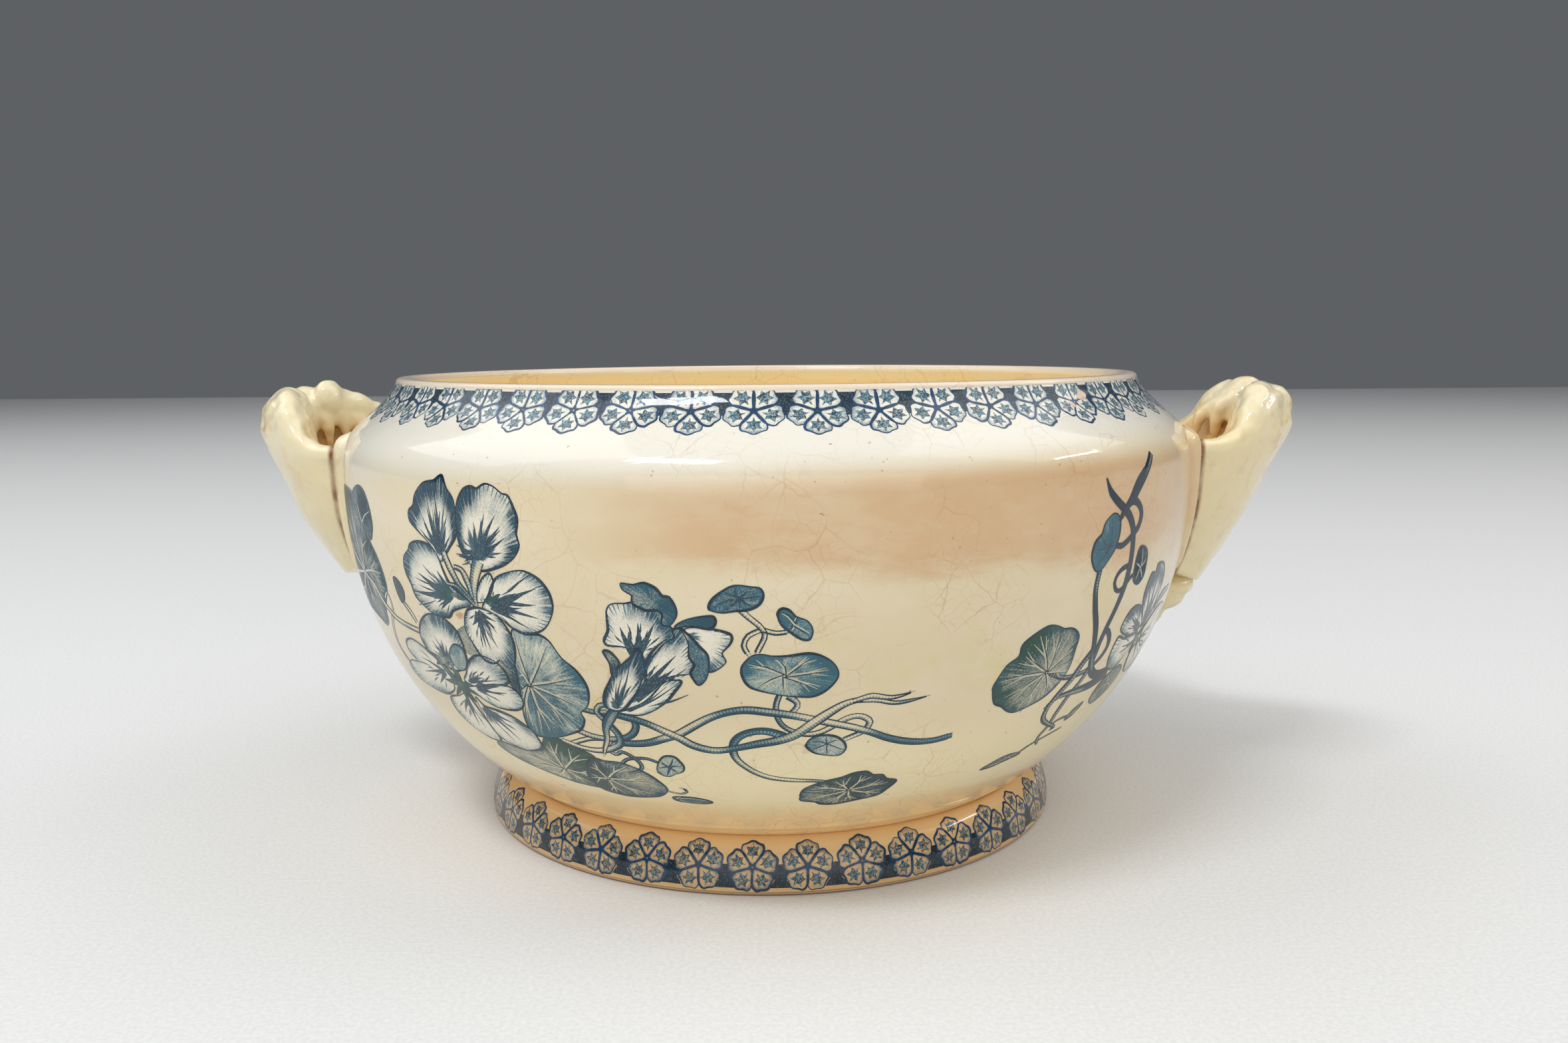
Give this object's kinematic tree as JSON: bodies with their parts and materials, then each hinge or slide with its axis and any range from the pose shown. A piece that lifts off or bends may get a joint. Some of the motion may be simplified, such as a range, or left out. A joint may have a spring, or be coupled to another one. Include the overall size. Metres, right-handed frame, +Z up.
{
  "type": "lidless soup tureen base",
  "caption": "Round footed earthenware serving bowl with a concave neck, tapering belly, foot ring and hollow moulded handles on opposite sides.",
  "frame": {"origin": "centre of the foot ring's flat underside", "axes": "+Z up through the mouth; the two handles lie along +X and -X; the printed front faces -Y"},
  "size_m": [0.3182, 0.251, 0.131],
  "materials": {
    "body_glaze": "glossy crazed cream glaze",
    "foot_glaze": "glossy cream glaze, stained peach where it pools",
    "handle_glaze": "glossy ivory glaze",
    "transfer_print": "blue-grey engraved print under the gloss glaze"
  },
  "bodies": {
    "root": {"base": "body_glaze", "belly": "body_glaze", "shoulder": "body_glaze", "neck": "body_glaze", "foot": "foot_glaze", "right_front_strap": "handle_glaze", "right_back_strap": "handle_glaze", "right_backplate": "body_glaze", "right_leaf": "handle_glaze", "left_front_strap": "handle_glaze", "left_back_strap": "handle_glaze", "left_backplate": "body_glaze", "left_leaf": "handle_glaze"}
  },
  "joints": []
}
